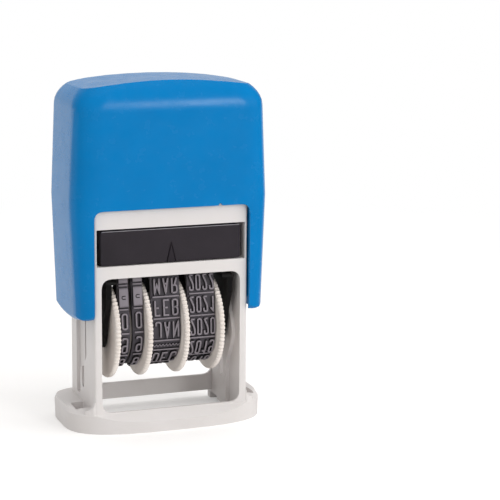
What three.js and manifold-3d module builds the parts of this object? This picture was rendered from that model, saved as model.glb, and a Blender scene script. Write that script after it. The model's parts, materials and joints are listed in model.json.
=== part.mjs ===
// Self-inking mini date stamp with four thumb wheels, standing on its foot.
// Millimetres, +Z up, front towards -Y, origin on the floor under the middle of the foot.
import * as THREE from 'three';
import { mergeVertices } from 'three/addons/utils/BufferGeometryUtils.js';
import Module from 'manifold-3d';

const wasm = await Module();
wasm.setup();

// Clearances and overruns
const clearance = 0.3;
const fitClearance = 0.1;
const bite = 0.25;
const overrun = 1;
const mergeTolerance = 1e-5;

// Frame walls and windows
const frameWidth = 37.5;
const frameDepth = 20.6;
const frameTop = 55;
const sideWall = 1.8;
const crossWall = 1.8;
const frameCornerRadius = 0.7;
const frontSill = 4.74;
const rearSill = 6.4;
const windowHead = 36.65;
const windowCornerRadius = 2.5;
const trayBayFloor = 39.54;
const trayBayHeight = 8.7;
const trayBayWidth = 36.1;
const deckThickness = 1.8;
const printOpeningDepth = 19.2;

// Foot under the frame
const footMargin = 0.25;
const footDepth = 26.4;
const footFrontShare = 3;
const footRearShare = 5;
const footHeight = 5.4;
const footCrease = 2.6;
const footEndCrease = 4.4;
const footDraft = 0.15;
const footSlopeRun = 3.8;
const footBevel = 0.4;
const footRim = 1.7;
const footHollow = 1.7;
const pocketWidth = 3.5;
const pocketFloor = 3.9;
const pocketFront = 6.2;
const pocketRear = 1;
const pocketRadius = 0.6;
const rearNotch = 2.4;
const flareRadius = 2;
const flareWall = 1.2;

// Guide lobe inside each side wall and the channel outside it
const lobeRise = 0.9;
const stripWidth = 6.2;
const lobeWidth = 14.6;
const lobeHeight = 21;
const lobeReach = 10;
const lobeTop = 33;
const channelDepth = 0.9;
const channelFront = 3.2;
const channelBack = 5.4;
const channelLowerFront = 2.3;
const channelBendLow = 11.8;
const channelBendHigh = 17.5;
const channelBottom = 6.6;
const channelTop = 34;

// Cap, taken over its outside faces
const capTop = 82;
const capWall = 1.1;
const capCornerWidth = 6.5;
const capCornerDepth = 4.3;
const capCornerGrowth = 1.9;
const innerCornerShare = 0.7;
const armBottom = 26;
const armBow = 1;
const armCornerRadius = 2.5;
const armSideRadius = 3;
const armReach = 4.1;
const waistHeight = 54.5;
const waistBulge = 1;
const shoulderDrop = 6.2;
const shoulderTaper = 0.9;
const shoulderRun = 8.9;
const crestRise = 0.4;
const crownRadius = 125;
const rollDrop = 7;
const topEdgeRadius = 9.5;
const capWindowHead = 52.7;
const capWindowGap = 0.15;
const capWindowRadius = 2.2;
const notchRadius = 0.5;
const notchPlace = 11.5;
const armRibThickness = 1.2;
const armRibPlace = 8.4;
const armRibLow = 30;
const armRibHigh = 62;

// Ink pad and its tray
const padFace = 40.2;
const padThickness = 3.8;
const padWidth = 29;
const padDepth = 14.6;
const padCornerRadius = 1;
const trayWidth = 34;
const trayHeadGap = 0.5;
const trayFootGap = 0.25;
const trayFaceSetback = 0.3;
const trayEdgeRadius = 0.6;
const arrowWidth = 2.3;
const arrowHeight = 4.75;
const arrowDepth = 0.35;

// Turning carriage
const typeHeight = 0.7;
const bandThickness = 1;
const plateReach = 9.8;
const printGap = 0.05;
const wheelDrop = 7.54;
const plateThickness = 1.2;
const plateInner = 14.2;
const plateFoot = 4.2;
const plateFootHalf = 4.2;
const plateWaistHalf = 7.3;
const plateWaistHeight = 4.6;
const plateShoulderHalf = 9.2;
const plateShoulderLow = 8.8;
const plateShoulderHigh = 12.8;
const plateHeadHalf = 5;
const plateHead = 15.2;
const plateCornerRadius = 1.2;
const plateFootRadius = 3.4;
const headPadThickness = 1.35;
const anvilHalfDepth = 5.7;
const anvilHeight = 2.8;
const anvilCornerRadius = 1.3;
const tenonWidth = 3.2;
const tenonHeight = 1.4;
const pinRadius = 0.8;
const pinBossRadius = 2.3;
const pinSeat = 22;
const axleRadius = 1.5;

// Thumb wheels and their bands
const discRadius = 11.85;
const toothDepth = 0.42;
const toothCount = 72;
const discThickness = 1.27;
const hubRadius = 7.6;
const bandSideGap = 0.15;
const hubLengths = [3.1, 3.1, 7.45, 7.1];

// Return spring
const springRadius = 4.6;
const wireRadius = 0.45;
const springTurns = 7;
const springEaseShare = 0.65;
const springPostRadius = 3.6;
const springPostHeight = 4.5;

// Facet counts
const roundSteps = 32;
const cornerSteps = 5;
const outlineSteps = 72;
const crownSteps = 10;
const lobeSteps = 16;
const wireSides = 6;
const turnSteps = 14;

// Sizes worked out from the ones above
const capDepth = frameDepth + 2 * (capWall + clearance);
const armWidth = frameWidth + 2 * armReach;
const waistWidth = armWidth + 2 * waistBulge;
const shoulderWidth = waistWidth - 2 * shoulderTaper;
const footLength = waistWidth + 2 * footMargin;
const reach = Math.max(footLength, footDepth, capTop);
const frameHalf = frameWidth / 2;
const frontFace = frameDepth / 2;
const chamberHalf = frameHalf - sideWall;
const printHalf = printOpeningDepth / 2;
const trayBayTop = trayBayFloor + trayBayHeight;
const deckTop = trayBayTop + deckThickness;
const capHalfDepth = capDepth / 2;
const shoulderHeight = capTop - shoulderDrop;
const shoulderRise = shoulderDrop + crestRise;
const rollStart = capTop - rollDrop;
const capWindowHalf = frameHalf + capWindowGap;
const typeTop = padFace - printGap;
const flipHeight = typeTop - plateReach;
const travel = flipHeight - plateReach - printGap;
const wheelHeight = flipHeight - wheelDrop;
const bandTop = typeTop - typeHeight;
const bandInnerTop = bandTop - bandThickness;
const anvilTop = bandInnerTop - clearance;
const bandInnerRadius = hubRadius + clearance;
const plateOuter = plateInner + plateThickness;
const headInner = plateInner - headPadThickness;
const lobeInner = chamberHalf - lobeRise;
const ceiling = capTop - capWall;

const colours = {
  cap: [0x0072bc, 0.35],
  frame: [0xdcdbd9, 0.5],
  tray: [0x39363b, 0.55],
  pad: [0x1b1a24, 0.95],
  carrier: [0x161517, 0.5],
  wheel: [0xe2dcd0, 0.55],
  band: [0x55525a, 0.85],
  steel: [0xb9bcc0, 0.3],
};

// Turns a closed three.js geometry into a solid that can be joined and cut
function solidOf(geometry) {
  const bare = geometry.index ? geometry.toNonIndexed() : geometry;
  bare.deleteAttribute('normal');
  bare.deleteAttribute('uv');
  const merged = mergeVertices(bare, mergeTolerance);
  return new wasm.Manifold(new wasm.Mesh({
    numProp: 3,
    vertProperties: new Float32Array(merged.attributes.position.array),
    triVerts: new Uint32Array(merged.index.array),
  }));
}

// Turns a solid back into a geometry for a mesh
function geometryOf(solid) {
  const mesh = solid.getMesh();
  const geometry = new THREE.BufferGeometry();
  geometry.setAttribute('position', new THREE.BufferAttribute(mesh.vertProperties, 3));
  geometry.setIndex(new THREE.BufferAttribute(mesh.triVerts, 1));
  const flat = geometry.toNonIndexed();
  flat.computeVertexNormals();
  return flat;
}

const bases = {
  x: [new THREE.Vector3(0, 1, 0), new THREE.Vector3(0, 0, 1), new THREE.Vector3(1, 0, 0)],
  y: [new THREE.Vector3(1, 0, 0), new THREE.Vector3(0, 0, 1), new THREE.Vector3(0, -1, 0)],
  z: [new THREE.Vector3(1, 0, 0), new THREE.Vector3(0, 1, 0), new THREE.Vector3(0, 0, 1)],
};

// Extrudes an outline along a row axis: drawn in (y, z) for x, in (x, z) for y and in (x, y) for z
function extruded(axis, outline, from, to, holes = []) {
  const shape = new THREE.Shape(outline);
  shape.holes = holes.map((hole) => new THREE.Path(hole));
  const geometry = new THREE.ExtrudeGeometry(shape, { depth: to - from, bevelEnabled: false, steps: 1 });
  geometry.applyMatrix4(new THREE.Matrix4().makeBasis(...bases[axis]));
  const start = axis === 'y' ? to : from;
  const shift = new THREE.Vector3(0, 0, 0);
  shift[axis] = start;
  geometry.translate(shift.x, shift.y, shift.z);
  return solidOf(geometry);
}

// Points of an arc, both ends included
function arc(centreA, centreB, radius, startAngle, endAngle, steps) {
  const points = [];
  for (let i = 0; i <= steps; i += 1) {
    const angle = startAngle + ((endAngle - startAngle) * i) / steps;
    points.push(new THREE.Vector2(centreA + radius * Math.cos(angle), centreB + radius * Math.sin(angle)));
  }
  return points;
}

function circle(centreA, centreB, radius, steps = roundSteps) {
  return arc(centreA, centreB, radius, 0, 2 * Math.PI, steps).slice(0, steps);
}

// Outline through corner points [a, b, radius], each corner rounded by its radius within its edges
function rounded(corners) {
  const points = [];
  const count = corners.length;
  for (let i = 0; i < count; i += 1) {
    const [a, b, radius = 0] = corners[i];
    const here = new THREE.Vector2(a, b);
    const before = new THREE.Vector2(...corners[(i + count - 1) % count].slice(0, 2)).sub(here);
    const after = new THREE.Vector2(...corners[(i + 1) % count].slice(0, 2)).sub(here);
    const half = Math.acos(before.dot(after) / (before.length() * after.length())) / 2;
    const room = Math.min(before.length(), after.length()) / 2;
    const cut = Math.min(radius / Math.tan(half), room);
    if (cut <= 0) {
      points.push(here);
      continue;
    }
    const start = here.clone().addScaledVector(before.normalize(), cut);
    const end = here.clone().addScaledVector(after.normalize(), cut);
    for (let step = 0; step <= cornerSteps; step += 1) {
      const t = step / cornerSteps;
      const inner = start.clone().lerp(here, t);
      points.push(inner.lerp(here.clone().lerp(end, t), t));
    }
  }
  return points;
}

function rectangle(lowA, lowB, highA, highB, radius = 0) {
  return rounded([
    [lowA, lowB, radius], [highA, lowB, radius], [highA, highB, radius], [lowA, highB, radius],
  ]);
}

function box(lowX, highX, lowY, highY, lowZ, highZ) {
  return extruded('z', rectangle(lowX, lowY, highX, highY), lowZ, highZ);
}

function rod(centreY, centreZ, radius, fromX, toX, steps = roundSteps) {
  return extruded('x', circle(centreY, centreZ, radius, steps), fromX, toX);
}

// The same solid on the other side of the middle plane
function mirrored(solid) {
  return solid.mirror([1, 0, 0]);
}

function bothSides(solid) {
  return solid.add(mirrored(solid));
}

// Solid through rings of points that lie above each other, each ring with as many points
function loft(rings) {
  const count = rings[0].length;
  const positions = rings.flat().flatMap((point) => [point.x, point.y, point.z]);
  const index = [];
  for (let ring = 0; ring < rings.length - 1; ring += 1) {
    for (let i = 0; i < count; i += 1) {
      const low = ring * count + i;
      const next = ring * count + ((i + 1) % count);
      index.push(low, next, next + count, low, next + count, low + count);
    }
  }
  const last = (rings.length - 1) * count;
  for (let i = 1; i < count - 1; i += 1) {
    index.push(0, i + 1, i, last, last + i, last + i + 1);
  }
  const geometry = new THREE.BufferGeometry();
  geometry.setAttribute('position', new THREE.Float32BufferAttribute(positions, 3));
  geometry.setIndex(index);
  return solidOf(geometry);
}

// Superellipse outline of the foot with its half-length and its own reach at the front and at the rear
function footOutline(half, front, rear) {
  const points = [];
  for (let i = 0; i < outlineSteps; i += 1) {
    const angle = (2 * Math.PI * (i + 1 / 2)) / outlineSteps;
    const cosine = Math.cos(angle);
    const sine = Math.sin(angle);
    const depth = sine < 0 ? front : rear;
    const power = 2 / (sine < 0 ? footFrontShare : footRearShare);
    const x = half * Math.sign(cosine) * Math.abs(cosine) ** power;
    points.push(new THREE.Vector2(x, depth * Math.sign(sine) * Math.abs(sine) ** power));
  }
  return points;
}

// Outline of the foot on the floor, drawn in by an inset
function floorOutline(inset) {
  const depth = footDepth / 2 - footDraft - inset;
  return footOutline(footLength / 2 - footDraft - inset, depth, depth);
}

// The foot leans out to a crease, which rises along the front slope towards the ends
function footBody() {
  const halfLength = footLength / 2;
  const halfDepth = footDepth / 2;
  const slopeShare = (footHeight - footCrease) / footSlopeRun;
  const crease = footOutline(halfLength, halfDepth, halfDepth).map(({ x, y }) => {
    const sloped = y < 0 ? footCrease + (halfDepth + y) * slopeShare : footEndCrease;
    return new THREE.Vector3(x, y, Math.min(sloped, footEndCrease));
  });
  const top = footOutline(halfLength - footBevel, halfDepth - footSlopeRun, halfDepth - footBevel);
  return loft([
    floorOutline(0).map(({ x, y }) => new THREE.Vector3(x, y, 0)),
    crease,
    top.map(({ x, y }) => new THREE.Vector3(x, y, footHeight)),
  ]);
}

// Concave webs that lead the two front posts into the foot
function flares() {
  const turn = footHeight + flareRadius;
  const outline = [
    new THREE.Vector2(frameHalf - bite, footCrease),
    new THREE.Vector2(frameHalf + flareRadius, footCrease),
    ...arc(frameHalf + flareRadius, turn, flareRadius, -Math.PI / 2, -Math.PI, cornerSteps),
    new THREE.Vector2(frameHalf - bite, turn),
  ];
  const within = extruded('z', floorOutline(0), 0, turn + overrun);
  return bothSides(extruded('y', outline, -frontFace, -frontFace + flareWall).intersect(within));
}

// Guide strip with its round lobe, which keeps the carriage central in the frame
function guideLobe() {
  const front = [];
  for (let i = 0; i <= lobeSteps; i += 1) {
    const z = lobeHeight - lobeReach + (2 * lobeReach * i) / lobeSteps;
    const swell = (1 + Math.cos((Math.PI * (z - lobeHeight)) / lobeReach)) / 2;
    front.push(new THREE.Vector2((stripWidth + (lobeWidth - stripWidth) * swell) / 2, z));
  }
  const back = front.map((point) => new THREE.Vector2(-point.x, point.y)).reverse();
  const outline = [
    new THREE.Vector2(stripWidth / 2, footHollow),
    ...front,
    new THREE.Vector2(stripWidth / 2, lobeTop),
    new THREE.Vector2(-stripWidth / 2, lobeTop),
    ...back,
    new THREE.Vector2(-stripWidth / 2, footHollow),
  ];
  return extruded('x', outline, lobeInner, chamberHalf + bite);
}

// Channel in the outer face of a side wall, with its S-shaped front edge
function sideChannel() {
  const bend = [];
  for (let i = 0; i <= lobeSteps; i += 1) {
    const share = i / lobeSteps;
    const eased = (1 - Math.cos(Math.PI * share)) / 2;
    const z = channelBendLow + (channelBendHigh - channelBendLow) * share;
    bend.push(new THREE.Vector2(channelLowerFront - (channelLowerFront + channelFront) * eased, z));
  }
  const outline = [
    new THREE.Vector2(channelBack, channelBottom),
    new THREE.Vector2(channelBack, channelTop),
    new THREE.Vector2(-channelFront, channelTop),
    ...bend.reverse(),
    new THREE.Vector2(channelLowerFront, channelBottom),
  ];
  return extruded('x', outline, frameHalf - channelDepth, frameHalf + overrun);
}

function pinSlot() {
  const half = pinRadius + clearance;
  const outline = rectangle(-half, flipHeight - travel - half, half, flipHeight + half, half);
  return extruded('x', outline, lobeInner - overrun, frameHalf + overrun);
}

function frameBody() {
  const outerLow = footHollow;
  const wallLine = rectangle(-frameHalf, -frontFace, frameHalf, frontFace, frameCornerRadius);
  let body = extruded('z', wallLine, outerLow, frameTop).add(footBody()).add(flares());
  const innerCross = frontFace - crossWall;
  const chamber = extruded('x', rounded([
    [-printHalf, -overrun], [printHalf, -overrun], [printHalf, windowHead], [innerCross, windowHead],
    [innerCross, trayBayTop], [-innerCross, trayBayTop], [-innerCross, windowHead], [-printHalf, windowHead],
  ]), -chamberHalf, chamberHalf);
  body = body.subtract(chamber);
  const frontWindow = rectangle(-chamberHalf, frontSill, chamberHalf, windowHead, windowCornerRadius);
  const rearWindow = rectangle(-chamberHalf, rearSill, chamberHalf, windowHead, windowCornerRadius);
  body = body.subtract(extruded('y', frontWindow, -reach, 0));
  body = body.subtract(extruded('y', rearWindow, 0, frontFace + overrun));
  body = body.subtract(box(-trayBayWidth / 2, trayBayWidth / 2, -reach, reach, trayBayFloor, trayBayTop));
  body = body.subtract(box(-chamberHalf, chamberHalf, -innerCross, innerCross, deckTop, frameTop + overrun));
  body = body.subtract(extruded('z', floorOutline(footRim), -overrun, footHollow));
  body = body.subtract(box(-chamberHalf, chamberHalf, 0, reach, -overrun, rearNotch));
  const pocketLine = rectangle(
    frameHalf, -pocketFront, frameHalf + pocketWidth, -pocketRear, pocketRadius,
  );
  const pocket = extruded('z', pocketLine, pocketFloor, footHeight + overrun);
  body = body.subtract(bothSides(pocket));
  body = body.add(bothSides(guideLobe()));
  body = body.subtract(bothSides(sideChannel()));
  body = body.subtract(bothSides(pinSlot()));
  const post = extruded('z', circle(0, 0, springPostRadius), deckTop - bite, deckTop + springPostHeight);
  return body.add(post);
}

// Half-width of the cap at a height: it widens to the waist, narrows and rounds over at the top
function capHalfAt(z) {
  if (z > shoulderHeight) {
    const riseShare = Math.min((z - shoulderHeight) / shoulderRise, 1);
    return shoulderWidth / 2 - shoulderRun * (1 - Math.sqrt(1 - riseShare ** 2));
  }
  const low = [armBottom, armWidth / 2];
  const middle = [waistHeight, waistWidth / 2];
  const high = [shoulderHeight, shoulderWidth / 2];
  const [from, to] = z < waistHeight ? [low, middle] : [middle, high];
  return from[1] + ((to[1] - from[1]) * (z - from[0])) / (to[0] - from[0]);
}

// Half-depth of the cap at a height: the front and the rear roll in towards the top
function capDepthAt(z) {
  const rise = Math.min(Math.max(z - rollStart, 0), topEdgeRadius);
  return capHalfDepth - topEdgeRadius + Math.sqrt(topEdgeRadius ** 2 - rise ** 2);
}

// Plan of the cap at a height, drawn in by an inset, with corners that are wider than deep
function capPlan(z, inset) {
  const stretchShare = capCornerWidth / capCornerDepth;
  const riseShare = Math.max(z + inset - shoulderHeight, 0) / shoulderRise;
  const half = capHalfAt(z + inset) - inset;
  const deep = (capDepthAt(z + inset) - inset) * stretchShare;
  const corner = (capCornerWidth + capCornerGrowth * riseShare) * (inset > 0 ? innerCornerShare : 1);
  const line = rectangle(-half, -deep, half, deep, corner);
  return line.map((point) => new THREE.Vector3(point.x, point.y / stretchShare, z));
}

// Solid of the cap's outer form, drawn in by an inset all over but open past its lower end
function capForm(inset, low) {
  const levels = [low, waistHeight, rollStart - inset];
  for (let i = 0; i <= crownSteps; i += 1) {
    const rise = shoulderRise * Math.sin((Math.PI * i) / (2 * crownSteps));
    levels.push(shoulderHeight - inset + rise);
  }
  levels.sort((a, b) => a - b);
  const plan = loft(levels.map((z) => capPlan(z, inset)));
  const wide = waistWidth / 2 + overrun;
  const spread = Math.asin(wide / crownRadius);
  const crownCentre = capTop - inset - crownRadius;
  const crown = arc(0, crownCentre, crownRadius, Math.PI / 2 - spread, Math.PI / 2 + spread, crownSteps);
  const under = extruded('y', [
    new THREE.Vector2(-wide, low - overrun),
    new THREE.Vector2(wide, low - overrun),
    ...crown,
  ], -capHalfDepth - overrun, capHalfDepth + overrun);
  return plan.intersect(under);
}

// Room for both arms, whose lower ends are bowed from front to rear and rounded along every edge
function armEnds() {
  const bowRise = armBottom + armBow;
  const flat = capHalfDepth - armCornerRadius;
  const bow = new THREE.QuadraticBezierCurve(
    new THREE.Vector2(-flat, bowRise),
    new THREE.Vector2(0, armBottom - armBow),
    new THREE.Vector2(flat, bowRise),
  ).getPoints(crownSteps);
  const corner = arc(flat, bowRise + armCornerRadius, armCornerRadius, -Math.PI / 2, 0, cornerSteps);
  const other = corner.map((point) => new THREE.Vector2(-point.x, point.y)).reverse();
  corner.shift();
  other.pop();
  const outer = armWidth / 2 + fitClearance;
  const wide = waistWidth / 2 + overrun;
  return loft([...other, ...bow, ...corner].reverse().map(({ x: y, y: z }) => rounded([
    [-outer, z, armSideRadius], [outer, z, armSideRadius],
    [wide, waistHeight], [wide, capTop + overrun], [-wide, capTop + overrun], [-wide, waistHeight],
  ]).map((point) => new THREE.Vector3(point.x, y, point.y))));
}

function capBody() {
  const low = armBottom - overrun;
  const shell = capForm(0, low).intersect(armEnds()).subtract(capForm(capWall, low - overrun));
  const window = rectangle(-capWindowHalf, -reach, capWindowHalf, capWindowHead, capWindowRadius);
  const notch = circle(notchPlace, capWindowHead, notchRadius, roundSteps / 2);
  const within = capForm(capWall / 2, low).intersect(armEnds());
  const ribIn = frameHalf + clearance;
  const ribFront = armRibPlace - armRibThickness / 2;
  const rib = box(ribIn, reach, ribFront, ribFront + armRibThickness, armRibLow, armRibHigh);
  const boss = rod(0, flipHeight, pinBossRadius, ribIn, reach);
  const spigot = extruded('z', circle(0, 0, springPostRadius), ceiling - springPostHeight, capTop);
  const inner = bothSides(rib.add(rib.mirror([0, 1, 0])).add(boss)).add(spigot).intersect(within);
  const seat = rod(0, flipHeight, pinRadius + fitClearance, frameHalf, pinSeat + fitClearance);
  return shell
    .subtract(extruded('y', window, -reach, reach))
    .subtract(extruded('y', notch, -reach, 0))
    .add(inner)
    .subtract(bothSides(seat));
}

function padTray() {
  const half = trayWidth / 2;
  const low = trayBayFloor + trayFootGap;
  const high = trayBayTop - trayHeadGap;
  const face = frontFace - trayFaceSetback;
  const cavityTop = padFace + padThickness + clearance;
  const cavityLine = rectangle(
    -padWidth / 2 - clearance, -padDepth / 2 - clearance,
    padWidth / 2 + clearance, padDepth / 2 + clearance, padCornerRadius + clearance,
  );
  const arrow = extruded('y', [
    new THREE.Vector2(-arrowWidth / 2, low - overrun),
    new THREE.Vector2(arrowWidth / 2, low - overrun),
    new THREE.Vector2(arrowWidth / 2, low),
    new THREE.Vector2(0, low + arrowHeight),
    new THREE.Vector2(-arrowWidth / 2, low),
  ], -reach, -face + arrowDepth);
  return extruded('y', rectangle(-half, low, half, high, trayEdgeRadius), -face, face)
    .subtract(extruded('z', cavityLine, low - overrun, cavityTop))
    .subtract(arrow);
}

function inkPad() {
  const line = rectangle(-padWidth / 2, -padDepth / 2, padWidth / 2, padDepth / 2, padCornerRadius);
  return extruded('z', line, padFace, padFace + padThickness);
}

function tenon(extra, fromX, toX) {
  const middle = anvilTop - anvilHeight / 2;
  const halfWidth = tenonWidth / 2 + extra;
  const halfHeight = tenonHeight / 2 + extra;
  return box(fromX, toX, -halfWidth, halfWidth, middle - halfHeight, middle + halfHeight);
}

// Side plate of the carriage: it hangs on the pivot pin and holds the axle and, in its head, the anvil
function carrierPlate() {
  const low = wheelHeight - plateFoot;
  const waist = wheelHeight + plateWaistHeight;
  const shoulder = wheelHeight + plateShoulderLow;
  const neck = wheelHeight + plateShoulderHigh;
  const head = wheelHeight + plateHead;
  const half = [
    [plateFootHalf, low, plateFootRadius], [plateWaistHalf, waist, plateShoulderHalf],
    [plateShoulderHalf, shoulder, plateCornerRadius], [plateShoulderHalf, neck, plateCornerRadius],
    [plateHeadHalf, head, plateCornerRadius],
  ];
  const other = half.map(([y, z, radius]) => [-y, z, radius]).reverse();
  const outline = rounded([...half, ...other]);
  const headLow = wheelHeight + discRadius + clearance;
  const pad = extruded('x', outline, headInner, plateInner + bite)
    .intersect(box(0, reach, -reach, reach, headLow, reach));
  return extruded('x', outline, plateInner, plateOuter)
    .add(pad)
    .subtract(rod(0, wheelHeight, axleRadius + fitClearance, 0, reach))
    .subtract(rod(0, flipHeight, pinRadius + 2 * fitClearance, 0, reach))
    .subtract(tenon(fitClearance, headInner - overrun, reach));
}

function typeAnvil() {
  const line = rectangle(
    -anvilHalfDepth, anvilTop - anvilHeight, anvilHalfDepth, anvilTop, anvilCornerRadius,
  );
  const length = headInner - fitClearance;
  const tip = plateOuter - clearance;
  return extruded('x', line, -length, length).add(tenon(0, -tip, tip));
}

function wheelAxle() {
  const tip = plateOuter - clearance;
  return rod(0, wheelHeight, axleRadius, -tip, tip);
}

function pivotPin() {
  return rod(0, flipHeight, pinRadius, plateInner + fitClearance, pinSeat);
}

// Toothed thumb wheel with its hub, side 1 when the disc is on the right of the hub and -1 when on the left
function thumbWheel(start, hubLength, side) {
  const rim = [];
  for (let i = 0; i < 2 * toothCount; i += 1) {
    const angle = (Math.PI * i) / toothCount;
    const radius = discRadius - (i % 2) * toothDepth;
    rim.push(new THREE.Vector2(radius * Math.cos(angle), wheelHeight + radius * Math.sin(angle)));
  }
  const discStart = side > 0 ? start + hubLength : start;
  const hubStart = side > 0 ? start : start + discThickness - bite;
  return extruded('x', rim, discStart, discStart + discThickness)
    .add(rod(0, wheelHeight, hubRadius, hubStart, hubStart + hubLength + bite))
    .subtract(rod(0, wheelHeight, axleRadius + clearance, start - overrun, reach));
}

// Closed line round circles [y, z, radius] in anticlockwise order, as a belt runs round pulleys
function beltLine(circles, grow, steps) {
  const count = circles.length;
  const normals = circles.map((from, i) => {
    const to = circles[(i + 1) % count];
    const along = Math.atan2(to[1] - from[1], to[0] - from[0]);
    const distance = Math.hypot(to[0] - from[0], to[1] - from[1]);
    return along - Math.acos((from[2] - to[2]) / distance);
  });
  const points = [];
  circles.forEach(([y, z, radius], i) => {
    const start = normals[(i + count - 1) % count];
    let end = normals[i];
    while (end < start) end += 2 * Math.PI;
    points.push(...arc(y, z, radius + grow, start, end, i === 0 ? steps : cornerSteps));
  });
  return points;
}

// Rubber date band: round the hub of its wheel and over the anvil
function dateBand(fromX, toX) {
  const cornerPlace = anvilHalfDepth - anvilCornerRadius;
  const cornerHeight = anvilTop - anvilCornerRadius;
  const cornerRadius = anvilCornerRadius + clearance;
  const circles = [
    [0, wheelHeight, bandInnerRadius],
    [cornerPlace, cornerHeight, cornerRadius],
    [-cornerPlace, cornerHeight, cornerRadius],
  ];
  const outer = beltLine(circles, bandThickness, roundSteps);
  return extruded('x', outer, fromX, toX, [beltLine(circles, 0, roundSteps)]);
}

class SpringLine extends THREE.Curve {
  getPoint(t, target = new THREE.Vector3()) {
    const low = deckTop + clearance + wireRadius;
    const high = ceiling - clearance - wireRadius;
    const angle = 2 * Math.PI * springTurns * t;
    const share = t - (springEaseShare * Math.sin(2 * Math.PI * t)) / (2 * Math.PI);
    const height = low + (high - low) * share;
    return target.set(springRadius * Math.cos(angle), springRadius * Math.sin(angle), height);
  }
}

// Least gap between neighbouring turns of the spring wire, measured on points a turn apart
function springGap(line) {
  let least = Infinity;
  const steps = springTurns * turnSteps;
  for (let i = 0; i + turnSteps <= steps; i += 1) {
    const rise = line.getPoint((i + turnSteps) / steps).distanceTo(line.getPoint(i / steps));
    least = Math.min(least, rise - 2 * wireRadius);
  }
  return least;
}

function returnSpring() {
  const line = new SpringLine();
  console.log('least gap between spring turns, mm:', springGap(line).toFixed(2));
  const section = new THREE.Shape(circle(0, 0, wireRadius, wireSides));
  return solidOf(new THREE.ExtrudeGeometry(section, {
    steps: springTurns * turnSteps, bevelEnabled: false, extrudePath: line,
  }));
}

const dateStamp = new THREE.Group();

function place(name, solid, [colour, roughness], metalness = 0, parent = dateStamp) {
  const material = new THREE.MeshStandardMaterial({ color: colour, roughness, metalness });
  const mesh = new THREE.Mesh(geometryOf(solid), material);
  mesh.name = name;
  parent.add(mesh);
  return mesh;
}

place('frame', frameBody(), colours.frame);
place('cap', capBody(), colours.cap);
place('return_spring', returnSpring(), colours.steel, 1);
place('pad_tray', padTray(), colours.tray);
place('ink_pad', inkPad(), colours.pad);

const plate = carrierPlate();
const pin = pivotPin();
place('right_carrier_plate', plate, colours.carrier);
place('left_carrier_plate', mirrored(plate), colours.carrier);
place('right_pivot_pin', pin, colours.steel, 1);
place('left_pivot_pin', mirrored(pin), colours.steel, 1);
place('type_anvil', typeAnvil(), colours.carrier);
place('wheel_axle', wheelAxle(), colours.steel, 1);

// The first wheel has its disc on the left and the others on the right, so each band is beside its disc
const wheelNames = ['day_tens', 'day_units', 'month', 'year'];
let start = -(plateInner - clearance);
wheelNames.forEach((name, i) => {
  const side = i === 0 ? -1 : 1;
  const hubLength = hubLengths[i];
  const bandStart = (side > 0 ? start : start + discThickness) + bandSideGap;
  const bandEnd = bandStart + hubLength - 2 * bandSideGap;
  place(`${name}_wheel`, thumbWheel(start, hubLength, side), colours.wheel);
  place(`${name}_band`, dateBand(bandStart, bandEnd), colours.band);
  start += hubLength + discThickness + clearance;
});

export default dateStamp;
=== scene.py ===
# Looks of the date stamp: moulded finishes, thumb wheels, raised dates, ink pad, spring, light and camera
import json
import math

import bpy
from mathutils import Matrix, Vector

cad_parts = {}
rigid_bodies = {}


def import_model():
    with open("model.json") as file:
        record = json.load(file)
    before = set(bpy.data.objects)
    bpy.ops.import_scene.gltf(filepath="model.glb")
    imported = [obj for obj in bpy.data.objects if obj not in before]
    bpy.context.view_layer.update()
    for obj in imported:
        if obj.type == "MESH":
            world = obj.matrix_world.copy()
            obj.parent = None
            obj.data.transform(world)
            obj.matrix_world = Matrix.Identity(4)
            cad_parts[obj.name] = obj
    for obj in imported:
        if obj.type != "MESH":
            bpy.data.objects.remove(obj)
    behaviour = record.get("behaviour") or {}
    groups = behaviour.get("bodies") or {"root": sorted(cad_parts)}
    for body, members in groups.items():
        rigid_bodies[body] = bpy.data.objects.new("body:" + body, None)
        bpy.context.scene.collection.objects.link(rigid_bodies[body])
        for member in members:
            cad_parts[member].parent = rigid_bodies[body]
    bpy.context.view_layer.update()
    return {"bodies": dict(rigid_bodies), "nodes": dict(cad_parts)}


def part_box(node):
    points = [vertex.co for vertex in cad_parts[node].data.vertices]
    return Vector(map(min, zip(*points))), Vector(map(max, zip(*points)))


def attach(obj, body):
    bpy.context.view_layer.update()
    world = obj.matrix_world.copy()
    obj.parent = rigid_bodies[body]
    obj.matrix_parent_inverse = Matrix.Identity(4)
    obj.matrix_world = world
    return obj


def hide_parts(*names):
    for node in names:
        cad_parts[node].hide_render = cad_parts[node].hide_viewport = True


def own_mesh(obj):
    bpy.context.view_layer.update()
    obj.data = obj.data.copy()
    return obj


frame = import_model()
nodes = frame["nodes"]

# Lengths are in millimetres until a mesh is made
MM = 0.001

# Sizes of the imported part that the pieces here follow
WHEEL_HEIGHT = 22.81
BORE_RADIUS = 1.8
HUB_RADIUS = 7.6
DISC_RADIUS = 11.85
DISC_THICKNESS = 1.27
BAND_INNER_RADIUS = 7.9
BAND_THICKNESS = 1.0
ANVIL_CORNER_PLACE = 4.4
ANVIL_CORNER_HEIGHT = 36.85
ANVIL_CORNER_RADIUS = 1.6
TYPE_HEIGHT = 0.7
SPRING_RADIUS = 4.6
WIRE_RADIUS = 0.45
SPRING_LOW = 50.79
SPRING_HIGH = 80.15
SPRING_TURNS = 7
SPRING_EASE_SHARE = 0.65
SPRING_SIDES = 12
SPRING_TURN_STEPS = 40

# Arrow on the front of the pad tray
TRAY_FRONT = -10
ARROW_LOW = 39.79
ARROW_WIDTH = 2.3
ARROW_HEIGHT = 4.75
ARROW_DEPTH = 0.35
ARROW_GAP = 0.14
ARROW_RISE = 0.12
ARROW_CHAMFER = 0.12

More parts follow.
